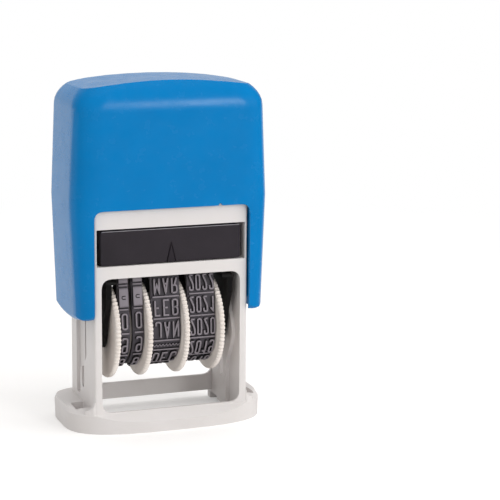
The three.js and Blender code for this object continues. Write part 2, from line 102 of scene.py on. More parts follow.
# Thumb wheels
TOOTH_COUNT = 72
TOOTH_DEPTH = 0.52
TOOTH_SAMPLES = 8
TOOTH_ROUNDING = 1.3
RIM_ROUNDING = 0.28
LUG_RADIUS = 9.6
LUG_HALF = 0.5
LUG_THICKNESS = 0.26

# Raised dates on the bands
BAND_STEP = 0.5
BAND_CHAMFER = 0.12
STROKE_WIDTH = 0.42
STROKE_FOOT = 0.5
STROKE_CHAMFER = 0.08
STROKE_SINK = 0.05
GLYPH_HEIGHT = 3.95
DAY_GLYPH_WIDTH = 1.55
MONTH_GLYPH_WIDTH = 1.6
MONTH_GLYPH_PITCH = 2.15
YEAR_GLYPH_WIDTH = 1.3
YEAR_GLYPH_PITCH = 1.66
CORNER_ROUNDING = 0.75
RIDGE_HEIGHT = 0.42
RIDGE_WIDTH = 0.4
BLOCK_LENGTH = 4.5
BLOCK_MARGIN = 0.3
MARK_WIDTH = 0.9
MARK_HEIGHT = 0.7
MARK_RISE = 0.05
WAVE_CELL = 2.5
WAVE_HEIGHT = 0.5
WAVE_COUNT = 8
CORNER_STEPS = 5
LEAST_STEP = 0.02
LEAST_MITRE_SHARE = 0.5

# Materials of a band by their place in its list: the rubber's own ground, a painted lighter tone for the
# lit tops of the raised type, and painted shade for its flanks and ends
GROUND_SLOT = 0
PAINTED_LIGHT_SLOT = 1
PAINTED_SHADE_SLOT = 2

# Cells of the bands: how many go round, and where the first one lies
DAY_CELL_COUNT = 13
DAY_TENS_START = -8.8
DAY_UNITS_START = -9
MONTH_PITCH = 5.15
MONTH_START = -10.95
YEAR_CELL_COUNT = 14
YEAR_START = -0.75
YEAR_BLANK = 11
YEAR_FIRST = 2020

# Ink pad
PAD_EDGE = 0.6
PAD_WRINKLE = 0.03
PAD_WRINKLE_ACROSS = 1.7
PAD_WRINKLE_DEEP = 2.3
PAD_COLUMNS = 12
PAD_ROWS = 6

# Edge finish of the moulded parts, with angles in degrees
WELD_GAP = 0.002
EDGE_RADIUS = 0.2
PLATE_EDGE_RADIUS = 0.06
TRAY_EDGE_RADIUS = 0.3
EDGE_SEGMENTS = 3
EDGE_ANGLE = 28
FLAT_ANGLE = 1
NORMAL_WEIGHT = 60

# Skin of the materials, with noise in features per metre
NOISE_LOW = 0.3
NOISE_HIGH = 0.7
DRIFT_SCALE = 90
DRIFT_DETAIL = 3
GLOSS_SCALE = 400
GLOSS_DETAIL = 4
GLOSS_BELOW = 0.04
GLOSS_ABOVE = 0.05
GRAIN_DETAIL = 3
GRAIN_DEPTH_SHARE = 0.25

# Painted highlight: lighter tone on the upper front edges of the pad tray, where light catches the
# rounded edge
PAINTED_HIGHLIGHT_COLOUR = (170, 168, 174)
PAINTED_HIGHLIGHT_WAY = (0, -0.7, 0.7)
PAINTED_HIGHLIGHT_LOW = 0.85
PAINTED_HIGHLIGHT_HIGH = 0.95

# Sockets of a node that mixes two colours
FIRST_TONE = 6
SECOND_TONE = 7
MIXED_TONE = 2

# Studio light, in metres and watts. Gloss sees dark in front of the object and white behind it, and
# the two turns say between which values of the way to the rear it changes over
WHITE = (1, 1, 1, 1)
WORLD_LIGHT = 0.74
WORLD_COLOUR = (1, 0.985, 0.97, 1)
FRONT_DARK = 0
BACKGROUND_WAY = (-0.3, 1, 0)
WORLD_TURN = (0, 1.3)
FLOOR_TURN = (-0.1, 0.1)
FLOOR_COLOUR = (0.8, 0.79, 0.78, 1)
FLOOR_HALF = 4
FLOOR_LIFT = 0.26
FLOOR_FADE_START = 0.1
FLOOR_FADE_END = 0.3

# Lamps: place, what each is turned to, size, power and whether gloss shows it
LAMPS = {
    "key": ((0.28, -0.66, 0.265), (0, 0, 0.06), 0.16, 1.1, True),
    "side": ((0.6, -0.42, 0.3), (0, 0, 0.04), 0.4, 1.5, False),
    "top": ((0.05, -0.05, 0.8), (0, 0, 0.04), 0.6, 1.7, False),
}

# Camera of the photograph
CAMERA_PLACE = (-129.959, -406.978, 126.015)
CAMERA_RIGHT = (0.9364251, -0.3507695, 0.0082983)
CAMERA_UP = (0.0610513, 0.1861834, 0.9806164)
CAMERA_FORWARD = (0.3455154, 0.9177671, -0.1957618)
CAMERA_LENS = 132.052
CAMERA_SENSOR = 36
CAMERA_NEAR = 0.01


def srgb(red, green, blue):
    """Colour written as 0 to 255 display values, turned into what a shader takes"""
    def channel(value):
        share = value / 255
        return share / 12.92 if share <= 0.04045 else ((share + 0.055) / 1.055) ** 2.4
    return (channel(red), channel(green), channel(blue), 1)


def noise(tree, scale, detail):
    """Noise over the object's own coordinates, with its scale in features per metre"""
    place = tree.nodes.new("ShaderNodeTexCoord")
    node = tree.nodes.new("ShaderNodeTexNoise")
    node.inputs["Scale"].default_value = scale
    node.inputs["Detail"].default_value = detail
    tree.links.new(place.outputs["Object"], node.inputs["Vector"])
    return node


def spread(tree, source, low, high):
    """Maps a noise value to a range"""
    node = tree.nodes.new("ShaderNodeMapRange")
    node.inputs["From Min"].default_value = NOISE_LOW
    node.inputs["From Max"].default_value = NOISE_HIGH
    node.inputs["To Min"].default_value = low
    node.inputs["To Max"].default_value = high
    tree.links.new(source, node.inputs["Value"])
    return node.outputs["Result"]


def ramp(tree, source, way, low, high):
    """Runs from 0 to 1 between two values of a vector's share along a way"""
    dot = tree.nodes.new("ShaderNodeVectorMath")
    dot.operation = "DOT_PRODUCT"
    dot.inputs[1].default_value = way
    tree.links.new(source, dot.inputs[0])
    share = tree.nodes.new("ShaderNodeMapRange")
    share.interpolation_type = "SMOOTHSTEP"
    share.inputs["From Min"].default_value = low
    share.inputs["From Max"].default_value = high
    tree.links.new(dot.outputs["Value"], share.inputs["Value"])
    return share.outputs["Result"]


def surface(name, colour, drift, roughness, grain, grain_size, metallic=0, specular=0.5):
    """Material whose colour drifts between two tones, with uneven gloss and a fine grain in the skin"""
    material = bpy.data.materials.new(name)
    material.use_nodes = True
    tree = material.node_tree
    shader = tree.nodes["Principled BSDF"]
    shader.inputs["Metallic"].default_value = metallic
    shader.inputs["Specular IOR Level"].default_value = specular
    tones = tree.nodes.new("ShaderNodeMix")
    tones.data_type = "RGBA"
    tones.inputs[FIRST_TONE].default_value = srgb(*colour)
    tones.inputs[SECOND_TONE].default_value = srgb(*drift)
    broad = noise(tree, DRIFT_SCALE, DRIFT_DETAIL)
    tree.links.new(spread(tree, broad.outputs["Fac"], 0, 1), tones.inputs[0])
    tree.links.new(tones.outputs[MIXED_TONE], shader.inputs["Base Color"])
    patches = noise(tree, GLOSS_SCALE, GLOSS_DETAIL)
    gloss = spread(tree, patches.outputs["Fac"], roughness - GLOSS_BELOW, roughness + GLOSS_ABOVE)
    tree.links.new(gloss, shader.inputs["Roughness"])
    fine = noise(tree, 1 / (grain_size * MM), GRAIN_DETAIL)
    bump = tree.nodes.new("ShaderNodeBump")
    bump.inputs["Strength"].default_value = grain
    bump.inputs["Distance"].default_value = grain_size * MM * GRAIN_DEPTH_SHARE
    tree.links.new(fine.outputs["Fac"], bump.inputs["Height"])
    tree.links.new(bump.outputs["Normal"], shader.inputs["Normal"])
    return material


# Each with its two tones, roughness, strength of the grain and size of the grain
CAP_BLUE = surface("cap_blue", (0, 121, 187), (0, 117, 182), 0.24, 0.1, 0.25, specular=0.2)
FRAME_GREY = surface("frame_grey", (223, 219, 218), (218, 214, 212), 0.42, 0.12, 0.25, specular=0.4)
TRAY_CHARCOAL = surface("tray_charcoal", (52, 46, 53), (45, 40, 46), 0.5, 0.35, 0.3, specular=0.35)
ARROW_CHARCOAL = surface("arrow_charcoal", (48, 43, 49), (43, 38, 44), 0.55, 0.35, 0.3, specular=0.2)
PAD_FOAM = surface("pad_foam", (30, 28, 42), (22, 20, 32), 0.95, 0.8, 0.2)
CARRIER_BLACK = surface("carrier_black", (18, 16, 17), (12, 11, 11), 0.5, 0.15, 0.3, specular=0.3)
WHEEL_CREAM = surface("wheel_cream", (236, 229, 223), (230, 221, 213), 0.5, 0.12, 0.25)
BAND_GROUND = surface("band_ground", (80, 75, 82), (68, 64, 70), 0.65, 0.3, 0.12)
# Painted light: lighter tone on the tops of the raised type, where the light falls on them
BAND_PAINTED_LIGHT = surface("band_painted_light", (140, 133, 140), (126, 120, 127), 0.6, 0.3, 0.12)
# Painted shade: near-black tone on the flanks and ends of the raised type, where shade falls beside it,
# and on the blank cells' marks
BAND_PAINTED_SHADE = surface("band_painted_shade", (26, 23, 27), (19, 17, 20), 0.7, 0.25, 0.12)
STEEL = surface("steel", (196, 198, 202), (180, 182, 187), 0.28, 0.05, 0.2, metallic=1)


def polished_edge(material, colour, way, low, high):
    """Painted highlight: lighter tone on the rounded edges of a moulding that face a way of its own,
    where light catches them
    """
    tree = material.node_tree
    shader = tree.nodes["Principled BSDF"]
    skin = shader.inputs["Base Color"].links[0].from_socket
    place = tree.nodes.new("ShaderNodeTexCoord")
    tones = tree.nodes.new("ShaderNodeMix")
    tones.data_type = "RGBA"
    tones.inputs[SECOND_TONE].default_value = srgb(*colour)
    tree.links.new(ramp(tree, place.outputs["Normal"], way, low, high), tones.inputs[0])
    tree.links.new(skin, tones.inputs[FIRST_TONE])
    tree.links.new(tones.outputs[MIXED_TONE], shader.inputs["Base Color"])


# Painted highlight along the tray's upper front edge
polished_edge(TRAY_CHARCOAL, PAINTED_HIGHLIGHT_COLOUR, PAINTED_HIGHLIGHT_WAY, PAINTED_HIGHLIGHT_LOW, PAINTED_HIGHLIGHT_HIGH)


def finish_node(name, material, radius=EDGE_RADIUS):
    """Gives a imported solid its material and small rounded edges"""
    node = nodes[name]
    for slot in node.material_slots:
        slot.material = material
    weld = node.modifiers.new("weld", "WELD")
    weld.merge_threshold = WELD_GAP * MM
    flat = node.modifiers.new("flat_faces", "DECIMATE")
    flat.decimate_type = "DISSOLVE"
    flat.angle_limit = math.radians(FLAT_ANGLE)
    edge = node.modifiers.new("rounded_edges", "BEVEL")
    edge.width = radius * MM
    edge.segments = EDGE_SEGMENTS
    edge.limit_method = "ANGLE"
    edge.angle_limit = math.radians(EDGE_ANGLE)
    edge.use_clamp_overlap = True
    edge.miter_outer = "MITER_ARC"
    shading = node.modifiers.new("soft_shading", "WEIGHTED_NORMAL")
    shading.keep_sharp = False
    shading.weight = NORMAL_WEIGHT
    for face in node.data.polygons:
        face.use_smooth = True


finish_node("frame", FRAME_GREY)
finish_node("cap", CAP_BLUE)
finish_node("pad_tray", TRAY_CHARCOAL, TRAY_EDGE_RADIUS)
finish_node("right_carrier_plate", CARRIER_BLACK, PLATE_EDGE_RADIUS)
finish_node("left_carrier_plate", CARRIER_BLACK, PLATE_EDGE_RADIUS)
finish_node("type_anvil", CARRIER_BLACK)
finish_node("right_pivot_pin", STEEL)
finish_node("left_pivot_pin", STEEL)
finish_node("wheel_axle", STEEL)


def piece(name, points, faces, materials, body, indices=None):
    """Makes a smooth-shaded object from points in millimetres, riding on a body"""
    mesh = bpy.data.meshes.new(name)
    mesh.from_pydata([Vector(point) * MM for point in points], [], faces)
    for material in materials:
        mesh.materials.append(material)
    if indices:
        mesh.polygons.foreach_set("material_index", indices)
    mesh.polygons.foreach_set("use_smooth", [True] * len(faces))
    mesh.validate()
    made = bpy.data.objects.new(name, mesh)
    bpy.context.scene.collection.objects.link(made)
    shading = made.modifiers.new("soft_shading", "WEIGHTED_NORMAL")
    shading.keep_sharp = False
    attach(made, body)
    return made


def ring_steps(rings, size, closed=True):
    """Start of each ring of points and of the next one, with each pair of neighbours round it"""
    for i in range(rings if closed else rings - 1):
        for j in range(size):
            yield i * size, (i + 1) % rings * size, j, (j + 1) % size


def belt_segments():
    """Outer face of a band as arcs and straight runs, anticlockwise from the rear of the drum"""
    circles = [
        (0, WHEEL_HEIGHT, BAND_INNER_RADIUS),
        (ANVIL_CORNER_PLACE, ANVIL_CORNER_HEIGHT, ANVIL_CORNER_RADIUS),
        (-ANVIL_CORNER_PLACE, ANVIL_CORNER_HEIGHT, ANVIL_CORNER_RADIUS),
    ]
    normals = []
    for i, (y, z, radius) in enumerate(circles):
        next_y, next_z, next_radius = circles[(i + 1) % 3]
        along = math.atan2(next_z - z, next_y - y)
        distance = math.hypot(next_y - y, next_z - z)
        normals.append(along - math.acos((radius - next_radius) / distance))
    segments = []
    for i, (y, z, radius) in enumerate(circles):
        grown = radius + BAND_THICKNESS
        start = normals[i - 1]
        end = normals[i]
        while end < start:
            end += 2 * math.pi
        segments.append(("arc", (y, z), grown, start, grown * (end - start)))
        next_y, next_z, next_radius = circles[(i + 1) % 3]
        out = Vector((math.cos(end), math.sin(end)))
        first = Vector((y, z)) + out * grown
        last = Vector((next_y, next_z)) + out * (next_radius + BAND_THICKNESS)
        segments.append(("line", first, last, end, (last - first).length))
    return segments


BELT = belt_segments()
BELT_LENGTH = sum(segment[-1] for segment in BELT)
BELT_FRONT = (math.pi - BELT[0][3]) % (2 * math.pi) * BELT[0][2]


def on_belt(x, place, height):
    """Point on a band: place runs down the front from the level of the axle, height is out of its face"""
    rest = (place + BELT_FRONT) % BELT_LENGTH
    for segment in BELT:
        if rest <= segment[-1]:
            break
        rest -= segment[-1]
    if segment[0] == "arc":
        angle = segment[3] + rest / segment[2]
        centre = Vector(segment[1])
        point = centre + Vector((math.cos(angle), math.sin(angle))) * (segment[2] + height)
    else:
        angle = segment[3]
        out = Vector((math.cos(angle), math.sin(angle)))
        point = segment[1].lerp(segment[2], rest / segment[-1]) + out * height
    return (x, point.x, point.y)


# Strokes on a grid of 0 to 4 across and 0 to 8 up: ~ rounds the corners, / starts another stroke
GRID_ACROSS = 4
GRID_UP = 8
GLYPHS = {
    "0": "~00-40-48-08-00",
    "1": "30-38-06",
    "2": "~06-08-48-45-00/00-40",
    "3": "~07-08-48-44-24/~24-44-40-00-01",
    "4": "30-38-02-42",
    "5": "48-08-04/~04-44-40-00-01",
    "6": "~47-48-08-00-40-44-04",
    "7": "08-48-10",
    "8": "~04-44-48-08-04/~04-44-40-00-04",
    "9": "~01-00-40-48-08-04-44",
    "A": "00-28-40/13-33",
    "B": "00-08/~08-48-44-04/~04-44-40-00",
    "C": "~46-48-08-00-40-42",
    "D": "00-08/~08-48-40-00",
    "E": "48-08-00-40/04-34",
    "F": "48-08-00/04-34",
    "G": "~46-48-08-00-40-44/44-24",
    "J": "~48-40-00-02",
    "L": "08-00-40",
    "M": "00-08-23-48-40",
    "N": "00-08-40-48",
    "O": "~00-40-48-08-00",
    "P": "00-08/~08-48-44-04",
    "R": "00-08/~08-48-44-04/24-40",
    "S": "~46-48-08-04-44-40-00-02",
    "T": "08-48/28-20",
    "U": "~08-00-40-48",
    "V": "08-20-48",
    "Y": "08-24-48/24-20",
}


def rounded_line(points, radius, closed):
    """Polyline with each inner corner replaced by a short curve"""
    made = []
    count = len(points)
    for i, here in enumerate(points):
        if not closed and i in (0, count - 1):
            made.append(here)
            continue
        before = points[i - 1] - here
        after = points[(i + 1) % count] - here
        cut = min(radius, before.length / 2, after.length / 2)
        start = here + before.normalized() * cut
        end = here + after.normalized() * cut
        for step in range(CORNER_STEPS + 1):
            share = step / CORNER_STEPS
            made.append(start.lerp(here, share).lerp(here.lerp(end, share), share))
    return made


def even_line(points, closed, step):
    """Adds points so that no part of the line is longer than a step, and drops repeated ones"""
    made = []
    count = len(points)
    for i in range(count if closed else count - 1):
        here = points[i]
        there = points[(i + 1) % count]
        parts = max(1, math.ceil((there - here).length / step))
        if (there - here).length < LEAST_STEP:
            continue
        made.extend(here.lerp(there, part / parts) for part in range(parts))
    if not closed:
        made.append(points[-1])
    return made


class Relief:
    """Raised forms gathered for one band"""

    def __init__(self):
        self.points = []
        self.faces = []
        self.indices = []

    def ribbon(self, line, closed, top, foot, rise, low=-STROKE_SINK, index=PAINTED_LIGHT_SLOT):
        """Raised stroke along points (x, place), with chamfered shoulders, a top face in the tone it is
        given (by default the painted lighter tone of lit tops) and flanks and ends in painted shade
        """
        line = even_line(line, closed, BAND_STEP)
        count = len(line)
        first = len(self.points)
        half = top / 2
        section = [
            (-foot / 2, low), (-half, rise - STROKE_CHAMFER), (STROKE_CHAMFER - half, rise),
            (half - STROKE_CHAMFER, rise), (half, rise - STROKE_CHAMFER), (foot / 2, low),
        ]
        for i, here in enumerate(line):
            before = line[i - 1] if closed or i > 0 else here
            after = line[(i + 1) % count] if closed or i < count - 1 else here
            into = (here - before).normalized()
            out = (after - here).normalized()
            heading = (into + out).normalized()
            side = Vector((heading.y, -heading.x))
            turn = max(heading.dot(out if out.length else into), LEAST_MITRE_SHARE)
            for across, height in section:
                point = here + side * (across / turn)
                self.points.append(on_belt(point.x, point.y, height))
        size = len(section)
        for i in range(count if closed else count - 1):
            low_ring = first + i * size
            high_ring = first + (i + 1) % count * size
            for j in range(size - 1):
                self.faces.append((low_ring + j, low_ring + j + 1, high_ring + j + 1, high_ring + j))
                # The flanks get painted shade; the top face keeps its given tone
                self.indices.append(index if 0 < j < size - 2 else PAINTED_SHADE_SLOT)
        if not closed:
            last = first + (count - 1) * size
            self.faces.append(tuple(range(first + size - 1, first - 1, -1)))
            self.faces.append(tuple(range(last, last + size)))
            self.indices.extend((PAINTED_SHADE_SLOT, PAINTED_SHADE_SLOT))

    def glyph(self, letter, x, place, width):
        """One raised character"""
        for stroke in GLYPHS[letter].split("/"):
            soft = stroke.startswith("~")
            nodes_of_stroke = stroke.lstrip("~").split("-")
            closed = nodes_of_stroke[0] == nodes_of_stroke[-1]
            line = [
                Vector((
                    x + (int(node[0]) / GRID_ACROSS - 1 / 2) * (width - STROKE_WIDTH),
                    place + (int(node[1]) / GRID_UP - 1 / 2) * (GLYPH_HEIGHT - STROKE_WIDTH),
                ))
                for node in nodes_of_stroke
            ]
            if closed:
                line.pop()
            if soft:
                line = rounded_line(line, CORNER_ROUNDING, closed)
            self.ribbon(line, closed, STROKE_WIDTH, STROKE_FOOT, TYPE_HEIGHT)

    def word(self, letters, x, place, width, pitch):
        """Characters side by side about a middle"""
        for i, letter in enumerate(letters):
            self.glyph(letter, x + (i - (len(letters) - 1) / 2) * pitch, place, width)

    def ridge(self, low_x, high_x, place, width=RIDGE_WIDTH, rise=RIDGE_HEIGHT):
        """Straight bar across the band"""
        line = [Vector((low_x, place)), Vector((high_x, place))]
        self.ribbon(line, False, width, width + 2 * STROKE_CHAMFER, rise)

    def block(self, low_x, high_x, place):
        """Blank raised cell with a small mark, a thin stroke in painted shade that stands for the shade
        in a small recessed mark
        """
        middle = (low_x + high_x) / 2
        line = [Vector((middle, place + way * BLOCK_LENGTH / 2)) for way in (-1, 1)]
        width = high_x - low_x
        self.ribbon(line, False, width, width + 2 * STROKE_CHAMFER, TYPE_HEIGHT)
        mark = [
            Vector((middle + MARK_WIDTH / 2, place - MARK_HEIGHT / 2)),
            Vector((middle - MARK_WIDTH / 2, place - MARK_HEIGHT / 2)),
            Vector((middle - MARK_WIDTH / 2, place + MARK_HEIGHT / 2)),
            Vector((middle + MARK_WIDTH / 2, place + MARK_HEIGHT / 2)),
        ]
        mark = rounded_line(mark, MARK_HEIGHT / 2, False)
        thin = STROKE_WIDTH * 2 / 3
        # The mark is painted shade
        self.ribbon(mark, False, thin, thin, TYPE_HEIGHT + MARK_RISE, TYPE_HEIGHT / 2, PAINTED_SHADE_SLOT)

    def wave(self, low_x, high_x, place):
        """Zigzag line across the band"""
        points = []
        for i in range(2 * WAVE_COUNT + 1):
            x = low_x + (high_x - low_x) * i / (2 * WAVE_COUNT)
            points.append(Vector((x, place + (i % 2 - 1 / 2) * WAVE_HEIGHT)))
        self.ribbon(points, False, STROKE_WIDTH / 2, STROKE_WIDTH / 2, RIDGE_HEIGHT)


def band(name, body, fill):
    """Rubber belt with its raised cells, in place of the plain packed band"""
    low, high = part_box(name)
    low_x = low.x / MM
    high_x = high.x / MM
    relief = Relief()
    inner = -BAND_THICKNESS
    section = [
        (low_x, inner), (low_x, -BAND_CHAMFER), (low_x + BAND_CHAMFER, 0),
        (high_x - BAND_CHAMFER, 0), (high_x, -BAND_CHAMFER), (high_x, inner),
    ]
    rings = math.ceil(BELT_LENGTH / BAND_STEP)
    size = len(section)
    for i in range(rings):
        for x, height in section:
            relief.points.append(on_belt(x, BELT_LENGTH * i / rings, height))
    for ring, after, j, k in ring_steps(rings, size):
        relief.faces.append((ring + j, ring + k, after + k, after + j))
        relief.indices.append(GROUND_SLOT)
    fill(relief, low_x + BLOCK_MARGIN, high_x - BLOCK_MARGIN)
    made = piece(
        name + "_relief", relief.points, relief.faces, [BAND_GROUND, BAND_PAINTED_LIGHT, BAND_PAINTED_SHADE], body,
        relief.indices,
    )
    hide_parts(name)


def day_cells(shift):
    """The digits 0 to 9 and three blank cells"""
    def fill(relief, low_x, high_x):
        pitch = BELT_LENGTH / DAY_CELL_COUNT
        middle = (low_x + high_x) / 2
        cells = [None, "0", "9", "8", "7", "6", "5", "4", "3", "2", "1", None, None]
        for i, cell in enumerate(cells):
            place = shift + i * pitch
            relief.ridge(low_x, high_x, place - pitch / 2)
            if cell:
                relief.glyph(cell, middle, place, DAY_GLYPH_WIDTH)
            else:
                relief.block(low_x, high_x, place)
    return fill


def month_cells(relief, low_x, high_x):
    """Twelve months, with a wavy row between January and December"""
    middle = (low_x + high_x) / 2
    place = MONTH_START
    for month in ("MAR", "FEB", "JAN"):
        relief.word(month, middle, place, MONTH_GLYPH_WIDTH, MONTH_GLYPH_PITCH)
        relief.ridge(low_x, high_x, place - MONTH_PITCH / 2)
        place += MONTH_PITCH
    row = place - MONTH_PITCH / 2 + WAVE_CELL / 2
    relief.ridge(low_x, high_x, row - WAVE_CELL / 2)
    relief.wave(low_x, high_x, row)
    relief.ridge(low_x, high_x, row + WAVE_CELL / 2)
    place += WAVE_CELL
    for month in ("DEC", "NOV", "OCT", "SEP", "AUG", "JUL", "JUN", "MAY", "APR"):
        relief.word(month, middle, place, MONTH_GLYPH_WIDTH, MONTH_GLYPH_PITCH)
        relief.ridge(low_x, high_x, place + MONTH_PITCH / 2)
        place += MONTH_PITCH


def year_cells(relief, low_x, high_x):
    """Thirteen years and a blank cell"""
    pitch = BELT_LENGTH / YEAR_CELL_COUNT
    middle = (low_x + high_x) / 2
    for i in range(YEAR_CELL_COUNT):
        place = YEAR_START - i * pitch
        relief.ridge(low_x, high_x, place - pitch / 2)
        if i == YEAR_BLANK:
            relief.ridge(low_x, high_x, place, GLYPH_HEIGHT, TYPE_HEIGHT)
            continue
        year = YEAR_FIRST + i if i < YEAR_BLANK else YEAR_FIRST + i - YEAR_CELL_COUNT
        relief.word(str(year), middle, place, YEAR_GLYPH_WIDTH, YEAR_GLYPH_PITCH)


band("day_tens_band", "carriage", day_cells(DAY_TENS_START))
band("day_units_band", "carriage", day_cells(DAY_UNITS_START))
band("month_band", "carriage", month_cells)
band("year_band", "carriage", year_cells)


def thumb_wheel(name, body, disc_on_left):
    """Toothed disc with its hub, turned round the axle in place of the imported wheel"""
    low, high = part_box(name)
    low_x = low.x / MM
    high_x = high.x / MM
    hub_end = high_x if disc_on_left else low_x
    outer = low_x if disc_on_left else high_x
    way = 1 if disc_on_left else -1
    inner = outer + way * DISC_THICKNESS
    rim = DISC_RADIUS
    section = [
        (outer, BORE_RADIUS, 0), (outer, rim - TOOTH_DEPTH - RIM_ROUNDING, 0),
        (outer, rim - RIM_ROUNDING, 1), (outer + way * RIM_ROUNDING, rim, 1),
        (inner - way * RIM_ROUNDING, rim, 1), (inner, rim - RIM_ROUNDING, 1),
        (inner, rim - TOOTH_DEPTH - RIM_ROUNDING, 0), (inner, HUB_RADIUS, 0),
        (hub_end, HUB_RADIUS, 0), (hub_end, BORE_RADIUS, 0),
    ]
    points = []
    faces = []
    steps = TOOTH_COUNT * TOOTH_SAMPLES
    size = len(section)
    for i in range(steps):
        angle = 2 * math.pi * i / steps
        dip = TOOTH_DEPTH * (1 - abs(math.sin(angle * TOOTH_COUNT / 2)) ** TOOTH_ROUNDING)
        for x, radius, toothed in section:
            reach = radius - dip * toothed
            points.append((x, reach * math.cos(angle), WHEEL_HEIGHT + reach * math.sin(angle)))
    for ring, after, j, k in ring_steps(steps, size):
        face = (ring + j, after + j, after + k, ring + k)
        faces.append(face if disc_on_left else face[::-1])
    if disc_on_left:
        wheel_lug(points, faces, hub_end)
    made = piece(name + "_moulding", points, faces, [WHEEL_CREAM], body)
    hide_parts(name)


def wheel_lug(points, faces, middle):
    """Small tongue at the foot of the hub, in the gap between the first two bands"""
    first = len(points)
    root = WHEEL_HEIGHT - HUB_RADIUS + LUG_HALF
    tip = WHEEL_HEIGHT - LUG_RADIUS
    outline = [(-LUG_HALF, root), (-LUG_HALF, tip + LUG_HALF)]
    outline += [(-LUG_HALF / 2, tip), (LUG_HALF / 2, tip), (LUG_HALF, tip + LUG_HALF), (LUG_HALF, root)]
    for x in (middle - LUG_THICKNESS / 2, middle + LUG_THICKNESS / 2):
        points.extend((x, y, z) for y, z in outline)
    size = len(outline)
    faces.append(tuple(first + size - 1 - i for i in range(size)))
    faces.append(tuple(first + size + i for i in range(size)))
    for i in range(size):
        j = (i + 1) % size
        faces.append((first + i, first + j, first + size + j, first + size + i))


bodies = {child.name: name for name, empty in frame["bodies"].items() for child in empty.children}
for i, wheel in enumerate(("day_tens", "day_units", "month", "year")):
    thumb_wheel(wheel + "_wheel", bodies[wheel + "_wheel"], i == 0)


def pad_lines(half, count):
    """Even places from edge to edge of the pad, with one more where each soft edge begins"""
    inner = [half * i / count for i in range(1 - count, count)]
    return [-half, PAD_EDGE - half] + inner + [half - PAD_EDGE, half]


def ink_pad():
    """Felt block with soft edges and a slightly uneven skin"""
    low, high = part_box("ink_pad")
    low = low / MM
    high = high / MM
    middle = (low + high) / 2
    half = (high - low) / 2
    across = pad_lines(half.x, PAD_COLUMNS)
    deep = pad_lines(half.y, PAD_ROWS)
    columns = len(across)
    rows = len(deep)
    points = []
    faces = []
    for way in (-1, 1):
        start = len(points)
        for y in deep:
            for x in across:
                inset_x = max(0, (abs(x) - half.x + PAD_EDGE) / PAD_EDGE)
                inset_y = max(0, (abs(y) - half.y + PAD_EDGE) / PAD_EDGE)
                fall = PAD_EDGE * min(1, math.hypot(inset_x, inset_y)) ** 2 / 2
                wave = math.sin(x * PAD_WRINKLE_ACROSS) * math.sin(y * PAD_WRINKLE_DEEP)
                wrinkle = PAD_WRINKLE * (1 + wave) / 2
                z = middle.z + way * (half.z - fall - wrinkle)
                points.append((middle.x + x, middle.y + y, z))
        for row in range(rows - 1):
            for column in range(columns - 1):
                corner = start + row * columns + column
                face = (corner, corner + 1, corner + columns + 1, corner + columns)
                faces.append(face if way > 0 else face[::-1])
    layer = columns * rows
    border = list(range(columns))
    border += [row * columns + columns - 1 for row in range(1, rows)]
    border += [(rows - 1) * columns + i for i in range(columns - 2, -1, -1)]
    border += [row * columns for row in range(rows - 2, 0, -1)]
    for i, here in enumerate(border):
        there = border[(i + 1) % len(border)]
        faces.append((here, there, there + layer, here + layer))
    made = piece("ink_pad_felt", points, faces, [PAD_FOAM], "pad")
    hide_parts("ink_pad")


ink_pad()


def tray_arrow():
    """Raised pointer that stands in the recess of the tray's front"""
    points = []
    for inset, y in (
        (ARROW_GAP, TRAY_FRONT + ARROW_DEPTH),
        (ARROW_GAP, TRAY_FRONT - ARROW_RISE + ARROW_CHAMFER),
        (ARROW_GAP + ARROW_CHAMFER, TRAY_FRONT - ARROW_RISE),
    ):
        half = ARROW_WIDTH / 2 - inset
        tip = ARROW_HEIGHT * half / (ARROW_WIDTH / 2)
        points.extend([(-half, y, ARROW_LOW), (half, y, ARROW_LOW), (0, y, ARROW_LOW + tip)])
    faces = [(0, 2, 1), (6, 7, 8)]
    for ring in (0, 3):
        for i in range(3):
            j = (i + 1) % 3
            faces.append((ring + i, ring + j, ring + 3 + j, ring + 3 + i))
    piece("tray_arrow", points, faces, [ARROW_CHARCOAL], "pad")


tray_arrow()


def return_spring():
    """Closely sampled coil of round wire, with its turns closer together towards the ends"""
    steps = SPRING_TURNS * SPRING_TURN_STEPS
    points = []
    faces = []
    for i in range(steps + 1):
        t = i / steps
        angle = 2 * math.pi * SPRING_TURNS * t
        share = t - SPRING_EASE_SHARE * math.sin(2 * math.pi * t) / (2 * math.pi)
        z = SPRING_LOW + (SPRING_HIGH - SPRING_LOW) * share
        out = Vector((math.cos(angle), math.sin(angle), 0))
        centre = out * SPRING_RADIUS + Vector((0, 0, z))
        for side in range(SPRING_SIDES):
            turn = 2 * math.pi * side / SPRING_SIDES
            point = centre + (out * math.cos(turn) + Vector((0, 0, math.sin(turn)))) * WIRE_RADIUS
            points.append(tuple(point))
    for ring, after, j, k in ring_steps(steps + 1, SPRING_SIDES, closed=False):
        faces.append((ring + j, after + j, after + k, ring + k))
    faces.append(tuple(range(SPRING_SIDES)))
    faces.append(tuple(steps * SPRING_SIDES + side for side in reversed(range(SPRING_SIDES))))
    made = piece("return_spring_wire", points, faces, [STEEL], "frame")
    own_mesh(made)
    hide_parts("return_spring")


return_spring()


def light_path(tree, *kinds):
    """1 for any of the named kinds of ray"""
    path = tree.nodes.new("ShaderNodeLightPath")
    total = path.outputs[kinds[0]]
    for kind in kinds[1:]:
        larger = tree.nodes.new("ShaderNodeMath")
        larger.operation = "MAXIMUM"
        tree.links.new(total, larger.inputs[0])
        tree.links.new(path.outputs[kind], larger.inputs[1])
        total = larger.outputs[0]
    return total


def mixed(tree, share, first, second):
    """Shader that runs from a first to a second one as a share runs from 0 to 1"""
    node = tree.nodes.new("ShaderNodeMixShader")
    for i, source in enumerate((share, first, second)):
        tree.links.new(source, node.inputs[i])
    return node.outputs[0]


def glow(tree, kind, strength):
    """Even white light of a strength, from a node of the emission or background kind"""
    node = tree.nodes.new(kind)
    node.inputs["Color"].default_value = WHITE
    node.inputs["Strength"].default_value = strength
    return node.outputs[0]


